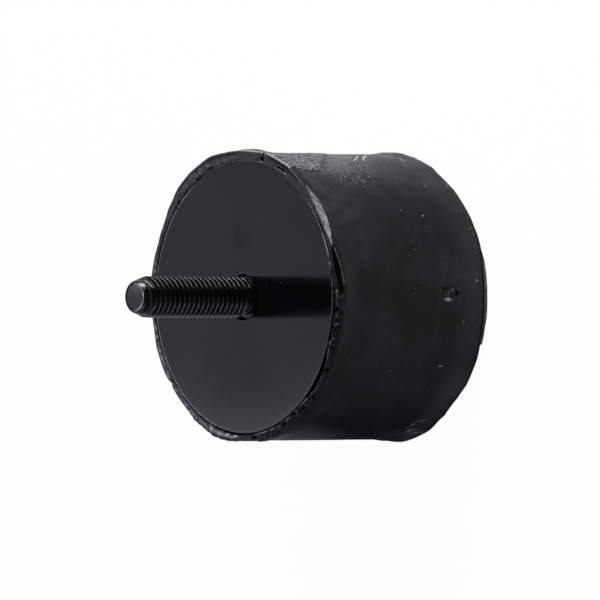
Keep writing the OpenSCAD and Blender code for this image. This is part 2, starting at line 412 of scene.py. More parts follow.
def trim_corner(grid):
    """Knife trim across the corner of the front rim. Gives the points as they lie after it."""
    azimuth, distance, lean = KNIFE_TRIM
    turn, lean = math.radians(azimuth), math.radians(lean)
    normal = np.array([math.cos(lean) * math.cos(turn), math.cos(lean) * math.sin(turn), math.sin(lean)])
    edge = np.array([distance * math.cos(turn), distance * math.sin(turn), LIP_TOP])
    off = off_azimuth(grid.phi, azimuth)
    near = grid.skin * (grid.rest_z > 40) * (np.abs(off) < FLAT_HALF)
    points = grid.points()
    beyond = (points - edge) @ normal + 0.04 * grid.noise(0.6, 51, 0.3)
    points = points - (np.maximum(beyond, 0) * near)[..., None] * normal
    lens_at = np.interp(grid.phi, [20, 36, 51], [34.95, 35.27, 35.4])
    lens_half = 1.13 * (1 - (off / 15.5) ** 2)
    out = over_corner(np.hypot(points[..., 0], points[..., 1]), points[..., 2], grid.angle)
    lens = smooth(lens_half - np.abs(out - lens_at), -0.05, 0.1)
    grid.trim = lens * near * (grid.rest_r > COAT_R + 0.5)
    return points


def pale_lip_and_highlights(grid):
    """Share of pale rubber on the lip: pale stretches and crumbs, and light lines along its edges that are
    painted highlights.
    """
    broken_line = smooth(grid.noise(0.9, 62), -0.6, 0.2)
    # Light lines along the lip's edges: painted highlights
    grid.inner_edge = bell(grid.across - 0.2, 0.1) * grid.arc(-82, -18, 6) * broken_line
    line = 0.5 * bell(grid.across - 0.3, 0.06) * grid.arc(4, 27, 3)
    line = line + 0.45 * bell(grid.across - 0.12, 0.07) * grid.arc(44, 60, 3) * broken_line
    left = 0.26 * grid.arc(100, 262, 14) + 0.25 * grid.arc(168, 262, 12) + 0.4 * grid.arc(238, 262, 6)
    left = left + 0.3 * grid.arc(194, 216, 4)
    left = left * smooth(grid.across, 0.12, 0.3) * np.maximum(0.7 + 1.1 * grid.noise(0.8, 61), 0)
    plain = 0.30 - 0.27 * grid.arc(-88, 36, 6)
    pale = [plain + left, 0.95 * grid.inner_edge, line, grid.curl, grid.lip_crumbs]
    return grid.lip * np.maximum.reduce(pale)


def painted_shade_share(grid, fin_pale):
    """Share of painted shade, dark in colour and in reflection: pits, groove, the gate's far wall, the rims'
    edges and the torn side of the lip.
    """
    lip_edge = np.maximum(grid.arc(96, 266, 6), 0.25 * grid.arc(47, 58, 4))
    front_edge = 0.85 * smooth(grid.rest_r, 34.1, 34.35) * (grid.rest_z > 46.4) * lip_edge
    film_edge = 0.7 * smooth(grid.rest_r, 34.15, 34.3) * (grid.rest_z > 47.4) * grid.arc(56, 72, 4)
    rear_edge = 0.85 * smooth(grid.rest_z, 1.7, 1.25) * (grid.rest_r > 34) * grid.arc(-92, 94, 4)
    rear_edge = rear_edge * (1 - fin_pale)
    torn = np.maximum.reduce([0.5 * grid.torn, 0.35 * grid.arc(-80, 12, 8), 0.7 * grid.arc(-84, -48, 6)])
    torn = torn * np.maximum(grid.corner, grid.lip) * (1 - np.maximum(grid.lip_crumbs, grid.inner_edge))
    pits = 0.95 * smooth(grid.pits, 0.03, 0.3)
    groove = 0.85 * smooth(grid.groove, 0.25, 0.55)
    return np.maximum.reduce([pits, groove, grid.far_wall, front_edge, film_edge, rear_edge, torn])


def side_shares(grid):
    """Shares of dust and specks along the top of the side, the dust partly a painted sheen, and of haze
    beside the rear rim, partly painted light.
    """
    slant = 0.857 * grid.rest[..., 0] - grid.rest_z
    # Dust along the top, which also stands for a painted sheen there
    dust_and_sheen = grid.arc(64, 84, 9) * smooth(slant, -27, -22) * smooth(slant, -1, -12)
    dust_and_sheen = dust_and_sheen * (0.22 + 0.78 * smooth(slant, -11, -18))
    spotted = grid.arc(54, 80, 6) * smooth(slant, -20, -15) * smooth(slant, -4, -9)
    spotted = np.maximum(spotted, 0.5 * grid.arc(18, 78, 8) * smooth(grid.rest_z, 3.4, 1.6))
    # Haze beside the rear rim, raised most on the lower right, partly painted light
    haze = 1 + 0.3 * grid.arc(-34, -10, 8) - 0.3 * grid.arc(32, 75, 8) + 3.0 * grid.arc(-74, -38, 10)
    haze_and_light = smooth(grid.rest_z, 10.5, 3.5) * grid.arc(-74, 75, 10) * haze
    shares = {"dust_and_sheen_share": dust_and_sheen, "spot_share": spotted, "haze_and_light_share": haze_and_light}
    return {name: share * grid.skin for name, share in shares.items()}


def material_shares(grid):
    """Shares that the rubber's material reads."""
    fin_pale = np.where(grid.fin_row > 0.05, grid.fin, 0) * smooth(grid.rest_z, 0.74, 0.80)
    torn_lip = np.maximum(0.45 * grid.rough - 0.2 * grid.torn, 0.5 * grid.crumbled)
    torn_lip = torn_lip * np.maximum(grid.corner, grid.lip)
    cut_and_highlight = [grid.trim, pale_lip_and_highlights(grid), grid.groove_line, 0.7 * fin_pale, grid.gate_pale]
    return side_shares(grid) | {
        "cut_and_highlight_share": np.maximum.reduce(cut_and_highlight),
        "torn_share": np.maximum(0.3 * grid.crater, torn_lip),
        "painted_shade_share": painted_shade_share(grid, fin_pale),
        "crumb_share": np.maximum(grid.lip_crumbs * grid.arc(246, 266, 2), 0.6 * grid.torn_edge),
    }


def rubber_object():
    """Moulded rubber, shaped step by step from its plain section."""
    grid = Grid()
    for step in (shape_rims, shape_side, shape_gate, shape_lip, part_lip, mark_lip, cut_groove):
        step(grid)
    points = trim_corner(grid)
    count_rows, count_columns = points.shape[:2]
    index = np.arange(count_rows * count_columns).reshape(count_rows, count_columns)
    following = np.roll(index, -1, axis=1)
    quads = np.stack([index[:-1], following[:-1], following[1:], index[1:]], axis=-1).reshape(-1, 4)
    ends = [index[0][::-1].tolist(), index[-1].tolist()]
    mesh = bpy.data.meshes.new("rubber")
    mesh.from_pydata(list(points.reshape(-1, 3) * MM), [], quads.tolist() + ends)
    bm = bmesh.new()
    bm.from_mesh(mesh)
    bpy.data.meshes.remove(mesh)
    obj = finish_mesh("moulded_rubber", bm, RUBBER_SHARP)
    for name, values in material_shares(grid).items():
        attribute = obj.data.attributes.new(name, "FLOAT", "POINT")
        attribute.data.foreach_set("value", values.reshape(-1).astype(np.float32))
    return obj


# Turned steel pieces
def turned_loop(name, section):
    """Ring turned from a closed section of (radius, height) points."""
    bm = bmesh.new()
    angles = np.linspace(0, 2 * math.pi, PLATE_COLUMNS, endpoint=False)
    rings = [[bm.verts.new((r * math.cos(a) * MM, r * math.sin(a) * MM, z * MM)) for r, z in section]
             for a in angles]
    for ring, after in zip(rings, rings[1:] + rings[:1]):
        for j in range(len(section)):
            k = (j + 1) % len(section)
            bm.faces.new((ring[j], after[j], after[k], ring[k]))
    return finish_mesh(name, bm, STEEL_SHARP)


def crown_drop(r):
    """How far the outer face of a plate falls away towards its rim."""
    return CROWN_DROP * (max(r - CROWN_R, 0) / (COAT_R - EDGE_ROLL - CROWN_R)) ** 2


def rolled_edge(radius, face, outward):
    """Section of the rolled edge of a face that looks along outward."""
    start = radius - EDGE_ROLL
    return [(start + EDGE_ROLL * math.sin(a),
             face - outward * (crown_drop(start) + EDGE_ROLL * (1 - math.cos(a))))
            for a in np.linspace(0, math.pi / 2, 7)]


def plate_section(hole_r, face, inner, outward):
    """Section of a plate whose outer face looks along outward, with rolled edges at its rim and hole."""
    mouth = 0.12
    hole = [(hole_r + mouth - mouth * math.sin(a), face - outward * mouth * (1 - math.cos(a)))
            for a in np.linspace(0, math.pi / 2, 6)]
    flat = [(r, face) for r in (hole_r + 0.3, hole_r + 0.8, 12.0, CROWN_R)]
    crown = [(r, face - outward * crown_drop(r)) for r in (20.0, 22.0, 24.0, 26.0, 28.0, 30.0, 31.0, 31.7)]
    rim = rolled_edge(PLATE_R, face, outward)
    return hole[::-1] + flat + crown + rim + [(PLATE_R, inner), (hole_r, inner)]


def coat_section():
    """Section of the coat's rolled edge, which laps over the rim of the front plate."""
    coat_t = 0.004
    low = MOUNT_H - 2
    lap = [(r, MOUNT_H - crown_drop(r) + coat_t) for r in (31.8, 32.0, 32.2, 32.4)]
    return lap + rolled_edge(COAT_R, MOUNT_H, 1) + [(COAT_R, low), (PLATE_R, low), (PLATE_R, LIP_TOP)]


def thread_section():
    """One pitch of an outside thread, from root to root: share of the pitch and share of the depth."""
    half = [(0.0, 0.0), (0.06, 0.01), (0.10, 0.04), (0.14, 0.11), (0.16, 0.165), (0.40, 0.88), (0.415, 0.92),
            (0.435, 0.955), (0.465, 0.985), (0.5, 1.0)]
    return half + [(1 - t, d) for t, d in half[-2:0:-1]]


def helix(bm, low, high, columns, radius_at):
    """Threaded tube between two heights. radius_at gives the radius from the depth share and the height."""
    section = thread_section()
    per_turn = len(section)
    turns = math.ceil((high - low) / PITCH) + 2
    grid = []
    for i in range(columns):
        angle = 2 * math.pi * i / columns
        column = []
        for j in range(turns * per_turn + 1):
            share, depth = section[j % per_turn]
            z = low - PITCH + PITCH * (j // per_turn + share + i / columns)
            z = min(max(z, low), high)
            r = radius_at(depth, z)
            column.append(bm.verts.new((r * math.cos(angle) * MM, r * math.sin(angle) * MM, z * MM)))
        grid.append(column)
    for i in range(columns):
        last = i == columns - 1
        after, shift = (grid[0], per_turn) if last else (grid[i + 1], 0)
        for j in range(turns * per_turn - shift):
            bm.faces.new((grid[i][j], after[j + shift], after[j + shift + 1], grid[i][j + 1]))
    bmesh.ops.remove_doubles(bm, verts=bm.verts[:], dist=1e-7)
    loose = [v for v in bm.verts if not v.link_faces]
    bmesh.ops.delete(bm, geom=loose, context="VERTS")


def open_loop(bm, height):
    """Edges of the open end of a tube that lies at a height."""
    return [e for e in bm.edges if e.is_boundary and all(abs(v.co.z - height * MM) < 1e-6 for v in e.verts)]


def draw_on(bm, edges, section):
    """Carries an open end on along (radius, height) points, and closes it when the radius reaches 0."""
    for r, z in section:
        if r == 0:
            centre = bm.verts.new((0, 0, z * MM))
            for e in edges:
                bm.faces.new((e.verts[0], e.verts[1], centre))
            return
        made = bmesh.ops.extrude_edge_only(bm, edges=edges)["geom"]
        edges = [g for g in made if isinstance(g, bmesh.types.BMEdge)]
        for v in {v for e in edges for v in e.verts}:
            angle = math.atan2(v.co.y, v.co.x)
            v.co = (r * math.cos(angle) * MM, r * math.sin(angle) * MM, z * MM)


def stud_object():
    """Threaded stud with its dished end, its neck and its head."""
    root = STUD_R - 0.6 * PITCH
    low, high = NECK_TOP, STUD_TOP - TIP_BEVEL

    def radius_at(depth, z):
        thread = root + (STUD_R - root) * depth
        cone = TIP_R + TIP_SLOPE * (high - z)
        runout = RELIEF_R - 0.15 + max(0, z - RUNOUT_TOP) * 0.9
        return min(thread, cone, runout)

    bm = bmesh.new()
    helix(bm, low, high, STUD_COLUMNS, radius_at)
    tip = [(TIP_R - 0.1, STUD_TOP - 0.2), (END_R + 0.1, STUD_TOP - 0.05), (END_R, STUD_TOP)]
    dished = ((END_R - 0.15, 0.01), (2.0, 0.05), (1.0, 0.08), (0, 0.09))
    tip += [(r, STUD_TOP - drop) for r, drop in dished]
    root_end = open_loop(bm, low)
    draw_on(bm, open_loop(bm, high), tip)
    head_high = MOUNT_H - PLATE_T
    head_low = head_high - HEAD_T
    draw_on(bm, root_end, [(NECK_R - 0.1, low), (NECK_R, low - 0.1), (NECK_R, head_high),
                           (HEAD_R, head_high), (HEAD_R, head_low), (0, head_low)])
    return finish_mesh("threaded_stud", bm, STEEL_SHARP)


def bush_object():
    """Blind tapped bush with its collar."""
    crest, root = TAP_R, STUD_R + 0.02

    def radius_at(depth, z):
        thread = root - (root - crest) * depth
        mouth = root - (z - BUSH_LOW)
        floor = crest if z > TAP_TOP - 0.4 else thread
        return max(min(thread, floor), mouth)

    bm = bmesh.new()
    helix(bm, BUSH_LOW, TAP_TOP, BUSH_COLUMNS, radius_at)
    draw_on(bm, open_loop(bm, TAP_TOP), [(2.0, TAP_TOP), (0, TAP_TOP)])
    outer = [(BUSH_R - 0.15, BUSH_LOW), (BUSH_R, BUSH_LOW + 0.15), (BUSH_R, PLATE_T), (COLLAR_R, PLATE_T),
             (COLLAR_R, COLLAR_TOP), (BUSH_R, COLLAR_TOP), (BUSH_R, BUSH_TOP), (0, BUSH_TOP)]
    draw_on(bm, open_loop(bm, BUSH_LOW), outer)
    return finish_mesh("tapped_bush", bm, STEEL_SHARP)


# Materials
class Nodes:
    """Short calls for adding nodes to one node tree. A pattern's scale is in cells for each metre."""

    def __init__(self, tree):
        self.nodes = tree.nodes
        self.links = tree.links

    def locate(self, coordinates):
        """Makes the place of each point and its three coordinates ready for use."""
        self.place = self.add("ShaderNodeTexCoord").outputs[coordinates]
        self.x, self.y, self.z = self.add("ShaderNodeSeparateXYZ", Vector=self.place).outputs

    def add(self, kind, **inputs):
        """New node, with inputs set by name to numbers or to the outputs of other nodes."""
        node = self.nodes.new(kind)
        for name, value in inputs.items():
            self.put(node.inputs[name], value)
        return node

    def put(self, socket, value):
        if isinstance(value, bpy.types.NodeSocket):
            self.links.new(value, socket)
        else:
            socket.default_value = value

    def math(self, operation, a, b=0.0):
        node = self.add("ShaderNodeMath")
        node.operation = operation
        self.put(node.inputs[0], a)
        self.put(node.inputs[1], b)
        return node.outputs["Value"]

    def chain(self, operation, values):
        result = values[0]
        for value in values[1:]:
            result = self.math(operation, result, value)
        return result

    def times(self, *values):
        return self.chain("MULTIPLY", values)

    def plus(self, *values):
        return self.chain("ADD", values)

    def most(self, *values):
        return self.chain("MAXIMUM", values)

    def least(self, *values):
        return self.chain("MINIMUM", values)

    def minus(self, a, b):
        return self.math("SUBTRACT", a, b)

    def off(self, value, middle):
        """Distance of a value from a middle, in millimetres, to either side."""
        return self.math("ABSOLUTE", self.minus(value, middle * MM))

    def ramp(self, value, from_low, from_high, to_low=0.0, to_high=1.0):
        """Smooth ramp between two numbers. The first may be above the second."""
        node = self.add("ShaderNodeMapRange", Value=value)
        node.interpolation_type = "SMOOTHSTEP"
        numbers = {"From Min": from_low, "From Max": from_high, "To Min": to_low, "To Max": to_high}
        for socket, number in numbers.items():
            node.inputs[socket].default_value = number
        return node.outputs["Result"]

    def ramp_mm(self, value, from_low, from_high, to_low=0.0, to_high=1.0):
        """Smooth ramp between two lengths in millimetres."""
        return self.ramp(value, from_low * MM, from_high * MM, to_low, to_high)

    def blend(self, share, a, b, kind="RGBA"):
        node = self.add("ShaderNodeMix")
        node.data_type = kind
        self.put(node.inputs["Factor"], share)
        self.put(node.inputs["A"], a)
        self.put(node.inputs["B"], b)
        return node.outputs["Result"]


class Shader(Nodes):
    """Nodes of one material, with the patterns that the materials share."""

    def __init__(self, name):
        self.material = bpy.data.materials.new(name)
        self.material.use_nodes = True
        super().__init__(self.material.node_tree)
        self.locate("Object")
        self.surface = self.nodes["Principled BSDF"].inputs

    def attribute(self, name):
        node = self.add("ShaderNodeAttribute")
        node.attribute_name = name
        return node.outputs["Fac"]

    def joined(self, *scaled):
        """Vector of three values, each given with its scale."""
        node = self.add("ShaderNodeCombineXYZ")
        for socket, (value, scale) in zip(node.inputs, scaled):
            self.put(socket, self.times(value, scale))
        return node.outputs["Vector"]

    def noise(self, scale, detail, rough, vector=None):
        node = self.add("ShaderNodeTexNoise", Scale=scale, Detail=detail, Roughness=rough)
        self.put(node.inputs["Vector"], vector or self.place)
        return node.outputs["Fac"]

    def wander(self, scale, detail, rough, width):
        """Noise about 0, over a width in millimetres."""
        return self.times(self.minus(self.noise(scale, detail, rough), 0.5), width * MM)

    def bump(self, height, strength, distance, below=None):
        """Bump of a height in millimetres, over the one below it."""
        node = self.add("ShaderNodeBump", Strength=strength, Distance=distance * MM, Height=height)
        if below:
            self.put(node.inputs["Normal"], below)
        return node.outputs["Normal"]

    def specks(self, scale, size, kept):
        """Small round specks of uneven strength in a share of the cells."""
        cells = self.add("ShaderNodeTexVoronoi", Scale=scale, Vector=self.place).outputs
        dot = self.ramp(cells["Distance"], size, size * 0.55)
        return self.times(dot, self.ramp(cells["Color"], 1 - kept, 1.0))

    def away(self, a, centre_a, b, centre_b):
        """Distance in a plane from a centre in millimetres, where a and b are coordinates."""
        along = self.math("POWER", self.minus(a, centre_a * MM), 2.0)
        across = self.math("POWER", self.minus(b, centre_b * MM), 2.0)
        return self.math("SQRT", self.plus(along, across))

    def radius(self):
        return self.away(self.x, 0.0, self.y, 0.0)

    def azimuth(self):
        return self.math("ARCTAN2", self.y, self.x)

    def stroke(self, a, b, start, end, half_width):
        """Thin line from start to end, where a and b are coordinates and the points are in millimetres."""
        length = math.dist(start, end)
        turn = ((end[0] - start[0]) / length, (end[1] - start[1]) / length)
        da = self.minus(a, start[0] * MM)
        db = self.minus(b, start[1] * MM)
        along = self.plus(self.times(da, turn[0]), self.times(db, turn[1]))
        across = self.minus(self.times(da, turn[1]), self.times(db, turn[0]))
        across = self.plus(across, self.wander(260, 2, 0.5, 3 * half_width))
        line = self.ramp_mm(self.off(across, 0), half_width, half_width * 0.4)
        return self.times(line, self.ramp_mm(self.off(along, length / 2), length / 2, length * 0.3))

    def strokes(self, a, b, lines):
        """Several thin lines, each as its start, end and half width."""
        return self.most(*[self.stroke(a, b, *line) for line in lines])


def grey(level, tint=0.0):
    """Grey of a level, with its blue raised by a share."""
    return (level, level, level * (1 + tint), 1.0)


# Strokes on the rubber as start, end and half width: along the top as X and Z, on the side as Y and Z
TOP_SCRATCHES = [((11.2, 22.6), (5.6, 15.9), 0.34), ((10.5, 19.1), (4.2, 12.2), 0.4),
                 ((8.6, 21.9), (6.9, 19.4), 0.2), ((6.2, 9.0), (7.45, 6.4), 0.2),
                 ((8.6, 5.7), (10.8, 5.6), 0.22)]
# Pale strokes near the rear rim on the lower right: partly scuffs, partly painted highlights
SCUFF_STROKES = [((-31.8, 8.3), (-30.6, 6.9), 0.24), ((-30.6, 6.5), (-29.3, 5.0), 0.22),
                 ((-32.35, 7.3), (-31.95, 4.1), 0.22), ((-33.2, 5.6), (-32.7, 1.8), 0.25),
                 ((-32.8, 6.6), (-32.4, 4.6), 0.16), ((-30.2, 7.6), (-29.9, 6.9), 0.2)]
SIDE_SCRATCHES = [((-16.75, 12.1), (-16.55, 10.4), 0.16)]
SIDE_FOLDS = [((-10.4, 40.7), (-16.5, 38.5), 0.22)]
# Film of flash: azimuths of its edges in radians
FILM_FROM, FILM_TO = math.radians(60.8), math.radians(100)
# Its reach below the lip at the first edge, the growth of that for each radian, and the longest reach
FILM_REACH, FILM_GROWTH, FILM_LONGEST = 9.2, 33.0, 24.6


def film_shares(s, azimuth):
    """Shares of the film of flash on the top of the side, the painted shadow line along its edge and its fold
    at the lip, a painted highlight.
    """
    turned = s.minus(azimuth, FILM_FROM)
    reach = s.plus(s.times(turned, FILM_GROWTH * MM), FILM_REACH * MM)
    reach = s.least(reach, FILM_LONGEST * MM)
    wander = s.wander(420, 3, 0.6, 2.0)
    far = s.plus(s.minus(s.z, LIP_TOP * MM), reach, wander)
    low = s.plus(s.times(turned, RIM_R * MM), s.times(wander, 0.25))
    high = s.plus(s.times(s.minus(FILM_TO, azimuth), RIM_R * MM), s.wander(140, 4, 0.6, 14))
    inside = s.least(far, low)
    fade = s.ramp_mm(high, -2, 5)
    front = s.ramp_mm(s.z, LIP_TOP + 0.42, LIP_TOP + 0.25)
    film = s.times(s.ramp_mm(inside, -0.05, 0.15), front, fade)
    # Painted shadow: a dark line just outside the film's edge
    line = s.minus(s.ramp_mm(inside, -0.55, -0.35), s.ramp_mm(inside, -0.15, 0.05))
    below = s.ramp_mm(s.z, LIP_TOP - FLARE_H, LIP_TOP - 2 * FLARE_H, 0.0, 0.55)
    # Painted highlight: the film's fold where it turns at the lip
    fold = s.times(film, s.ramp_mm(s.z, LIP_TOP - 0.05, LIP_TOP + 0.1, 0.0, 0.6))
    return film, s.times(s.most(line, 0.0), below, fade), fold


def bloomed_and_lit(s, right, mottle):
    """Black of the rubber with pale clouds, haze beside the rear rim that is partly painted light, a painted
    sheen at the top front, and dust along the top that is partly a painted sheen.
    """
    fine_cloud = s.ramp(s.noise(420, 4, 0.7), 0.3, 0.7, 0.4, 1.0)
    cloud = s.times(s.ramp(s.noise(55, 5, 0.62), 0.40, 0.78), fine_cloud)
    colour = s.blend(cloud, grey(0.0025, 0.08), grey(0.028, 0.06))
    # Haze beside the rear rim, partly painted light
    hazy_and_lit = s.times(s.attribute("haze_and_light_share"), s.ramp(s.noise(700, 4, 0.6), 0.3, 0.7, 0.19, 0.26))
    colour = s.blend(hazy_and_lit, colour, grey(0.10, 0.06))
    # Painted sheen: a pale blue-grey patch at the top front
    painted_sheen = s.ramp_mm(s.away(s.y, 21.5, s.z, 40.0), 9, 1)
    painted_sheen = s.times(painted_sheen, right, s.ramp(s.noise(260, 3, 0.55), 0.3, 0.75))
    colour = s.blend(painted_sheen, colour, grey(0.03, 0.10))
    # Dust along the top, partly a painted sheen
    dust_and_sheen = s.times(s.attribute("dust_and_sheen_share"), s.ramp(mottle, 0.40, 0.60, 0.1, 1.0))
    return s.blend(dust_and_sheen, colour, grey(0.115, 0.14))


def cut_open_and_lit(s, colour, azimuth, cut_and_highlight, torn, grain):
    """Colour with the pale rubber of cuts, streaked along the knife's way, and of tears and crumbs. On the
    knife's facet and on the lines along the lip, the paleness is partly a painted highlight.
    """
    streaks = s.noise(1, 3, 0.65, s.joined((s.radius(), 2600), (s.z, 2600), (azimuth, 16)))
    # Pale facet of the knife trim, partly a painted highlight
    trimmed_and_lit = s.times(s.ramp(cut_and_highlight, 0.45, 1.0), s.ramp(streaks, 0.42, 0.56, 0.1, 1.0))
    colour = s.blend(s.times(cut_and_highlight, s.ramp(grain, 0.35, 0.65, 0.15, 0.6)), colour, grey(0.15, 0.06))
    colour = s.blend(trimmed_and_lit, colour, grey(0.26, 0.05))
    colour = s.blend(s.attribute("crumb_share"), colour, grey(0.6))
    return s.blend(s.times(torn, s.ramp(grain, 0.54, 0.68, 0.0, 0.8)), colour, grey(0.12, 0.03))


def pale_marks(s, right):
    """Share of dust, specks and scratches."""
    scratch = s.times(s.strokes(s.x, s.z, TOP_SCRATCHES), s.ramp_mm(s.y, 24, 30))
    dash = s.times(s.strokes(s.y, s.z, SIDE_SCRATCHES), right)
    dust = s.most(s.specks(250, 0.075, 0.95), s.times(s.specks(520, 0.11, 0.3), 0.6))
    crowd = s.times(s.ramp(s.noise(2200, 2, 0.55), 0.60, 0.67, 0.0, 0.8), s.attribute("spot_share"))
    return s.most(dust, crowd, scratch, dash)


def rubber_material():
    s = Shader("rubber")
    cut_and_highlight, torn = s.attribute("cut_and_highlight_share"), s.attribute("torn_share")
    azimuth = s.azimuth()
    film, film_shadow_line, film_fold_highlight = film_shares(s, azimuth)
    right = s.ramp_mm(s.x, 0, 10)
    mottle = s.noise(1300, 4, 0.65)
    grain = s.noise(2600, 3, 0.65)
    # Scuffs near the rear rim, painted very pale so that they also stand for highlights
    scuffs_and_glints = s.times(s.strokes(s.y, s.z, SCUFF_STROKES), right, s.ramp(grain, 0.35, 0.55, 0.5, 1.0),
                     s.ramp(s.noise(950, 2, 0.5), 0.42, 0.58, 0.2, 1.0))
    # Painted shade: pits, edges and the film's edge darkened in colour and in reflection
    painted_shade = s.most(s.attribute("painted_shade_share"), film_shadow_line)

    colour = bloomed_and_lit(s, right, mottle)
    # Film of flash: paler rubber, with part of that paleness a painted sheen
    colour = s.blend(s.times(film, s.ramp(mottle, 0.42, 0.58)), colour, grey(0.20, 0.08))
    colour = s.blend(film_fold_highlight, colour, grey(0.5))
    colour = cut_open_and_lit(s, colour, azimuth, cut_and_highlight, torn, grain)
    colour = s.blend(scuffs_and_glints, colour, grey(0.85, 0.05))
    colour = s.blend(pale_marks(s, right), colour, grey(0.36))
    colour = s.blend(painted_shade, colour, grey(0.002))
    s.put(s.surface["Base Color"], colour)
    s.put(s.surface["Specular Tint"], s.blend(painted_shade, grey(1.0), grey(0.1)))

    gloss = s.ramp(s.noise(60, 4, 0.6), 0.3, 0.7, 0.29, 0.41)
    rough = s.most(film, scuffs_and_glints, cut_and_highlight, torn)
    s.put(s.surface["Roughness"], s.plus(gloss, s.times(rough, 0.16)))
    s.surface["Specular IOR Level"].default_value = 0.18

    normal = s.bump(s.noise(75, 3, 0.55), 0.5, 0.6)
    drawn = s.noise(1, 2, 0.5, s.joined((s.x, 210), (s.y, 210), (s.z, 90)))
    normal = s.bump(drawn, 0.4, 0.2, normal)
    normal = s.bump(s.noise(2600, 2, 0.5), 0.2, 0.06, normal)
    normal = s.bump(s.times(s.most(film, torn), mottle), 0.9, 0.3, normal)
    folds = s.times(s.strokes(s.y, s.z, SIDE_FOLDS), right)
    normal = s.bump(s.minus(1.0, folds), 0.9, 0.3, normal)
    s.put(s.surface["Normal"], normal)
    return s.material


def painted_edge_highlight(s):
    """Share of a painted highlight along the plate's rim, pale like thin coat, most of all on the side away
    from the gate.
    """
    rim = s.ramp_mm(s.radius(), COAT_R - 0.36, COAT_R - 0.22)
    face = s.ramp_mm(s.off(s.z, MOUNT_H / 2), MOUNT_H / 2 - 0.6, MOUNT_H / 2 - 0.45)
    lean = s.plus(s.x, s.times(s.y, 0.194))
    away_from_gate = s.times(s.ramp_mm(lean, -11, -18, 0.03, 1.0), s.ramp_mm(s.y, -20, 15, 1.0, 0.5))
    beside = s.most(s.ramp_mm(s.off(s.y, 11), 5, 3, 0.0, 0.26), s.ramp_mm(s.off(s.y, 0), 9, 6, 0.0, 0.07))
    near_gate = s.times(beside, s.ramp_mm(s.x, 0, 20))
    broken = s.ramp(s.noise(700, 3, 0.6), 0.36, 0.56, 0.2, 1.0)
    return s.times(rim, face, s.most(near_gate, away_from_gate), broken)


def plate_material():
    s = Shader("plate_coat")
    colour = s.blend(s.ramp(s.noise(70, 3, 0.55), 0.35, 0.7), grey(0.0020, 0.25), grey(0.0030, 0.25))
    dust = s.most(s.specks(95, 0.024, 1.0), s.times(s.specks(210, 0.04, 0.5), 0.4))
    colour = s.blend(dust, colour, grey(0.34))
    # Painted highlight along the rim: pale colour and rougher coat
    edge = painted_edge_highlight(s)
    s.put(s.surface["Base Color"], s.blend(edge, colour, grey(0.7)))
    smudge = s.ramp_mm(s.away(s.x, -0.7, s.y, 14.5), 4.8, 1.2)
    smudge = s.times(smudge, s.ramp(s.noise(420, 3, 0.6), 0.3, 0.62, 0.4, 1.0))
    s.put(s.surface["Specular Tint"], s.blend(smudge, grey(1.0), grey(0.68)))
    gloss = s.ramp(s.noise(40, 4, 0.6), 0.3, 0.7, 0.085, 0.13)
    s.put(s.surface["Roughness"], s.plus(gloss, s.times(edge, 0.3)))
    s.surface["Specular IOR Level"].default_value = 0.36
    normal = s.bump(s.noise(45, 1, 0.4), 0.10, 0.2)
    s.put(s.surface["Normal"], s.bump(s.noise(1500, 2, 0.5), 0.05, 0.05, normal))
    return s.material


def stud_wear_and_glint(s, radius):
    """Share of pale steel: a ring along the edge of the stud's end where the coat is thin, on its right side
    partly a painted highlight, and a painted glint beside it.
    """
    ring = s.ramp_mm(s.off(radius, RING_R), 0.24, 0.10)
    end = s.ramp_mm(s.z, STUD_TOP - 0.4, STUD_TOP - 0.2)
    wear_and_highlight = s.times(s.ramp(s.noise(900, 3, 0.6), 0.36, 0.56, 0.25, 1.0), s.ramp_mm(s.x, -1.0, 1.8))
    # Painted glint on the point beside the end
    painted_glint = s.ramp_mm(s.away(s.y, 2.85, s.z, STUD_TOP - 0.4), 0.55, 0.35)
    return s.most(s.times(ring, end, wear_and_highlight), s.times(painted_glint, s.ramp_mm(s.x, 1.0, 2.0)))


def stud_painted_shade(s, radius):
    """Share of painted shade that dims the reflection: at the root, on the point, on the left of the end's
    bevel, and in a strip and the grooves along the side.
    """
    azimuth = s.azimuth()
    root = s.ramp_mm(s.z, MOUNT_H + 1.7, MOUNT_H + 1.1)
    point = s.ramp_mm(s.z, TAPER_LOW, TAPER_LOW + 0.7, 0.0, 0.65)
    point = s.times(point, s.ramp_mm(radius, END_R, END_R + 0.15))
    bevel = s.times(s.ramp_mm(s.z, STUD_TOP - 0.6, STUD_TOP - 0.4),
                    s.ramp_mm(radius, END_R - 0.75, END_R - 0.5), s.ramp_mm(s.x, 0.6, -0.8))
    strip = s.times(s.ramp(azimuth, -0.04, 0.10, 0.0, 0.8), s.ramp(azimuth, 0.58, 0.46))
    groove = s.times(s.ramp_mm(radius, STUD_R - 0.10, STUD_R - 0.22, 0.0, 0.8),
                     s.ramp_mm(s.z, TAPER_LOW + 0.5, TAPER_LOW - 0.1), s.ramp(azimuth, -0.15, 0.15))
    side = s.times(s.most(strip, groove), s.ramp_mm(s.z, STUD_TOP - 0.4, STUD_TOP - 0.6))
    return s.most(root, point, bevel, side)


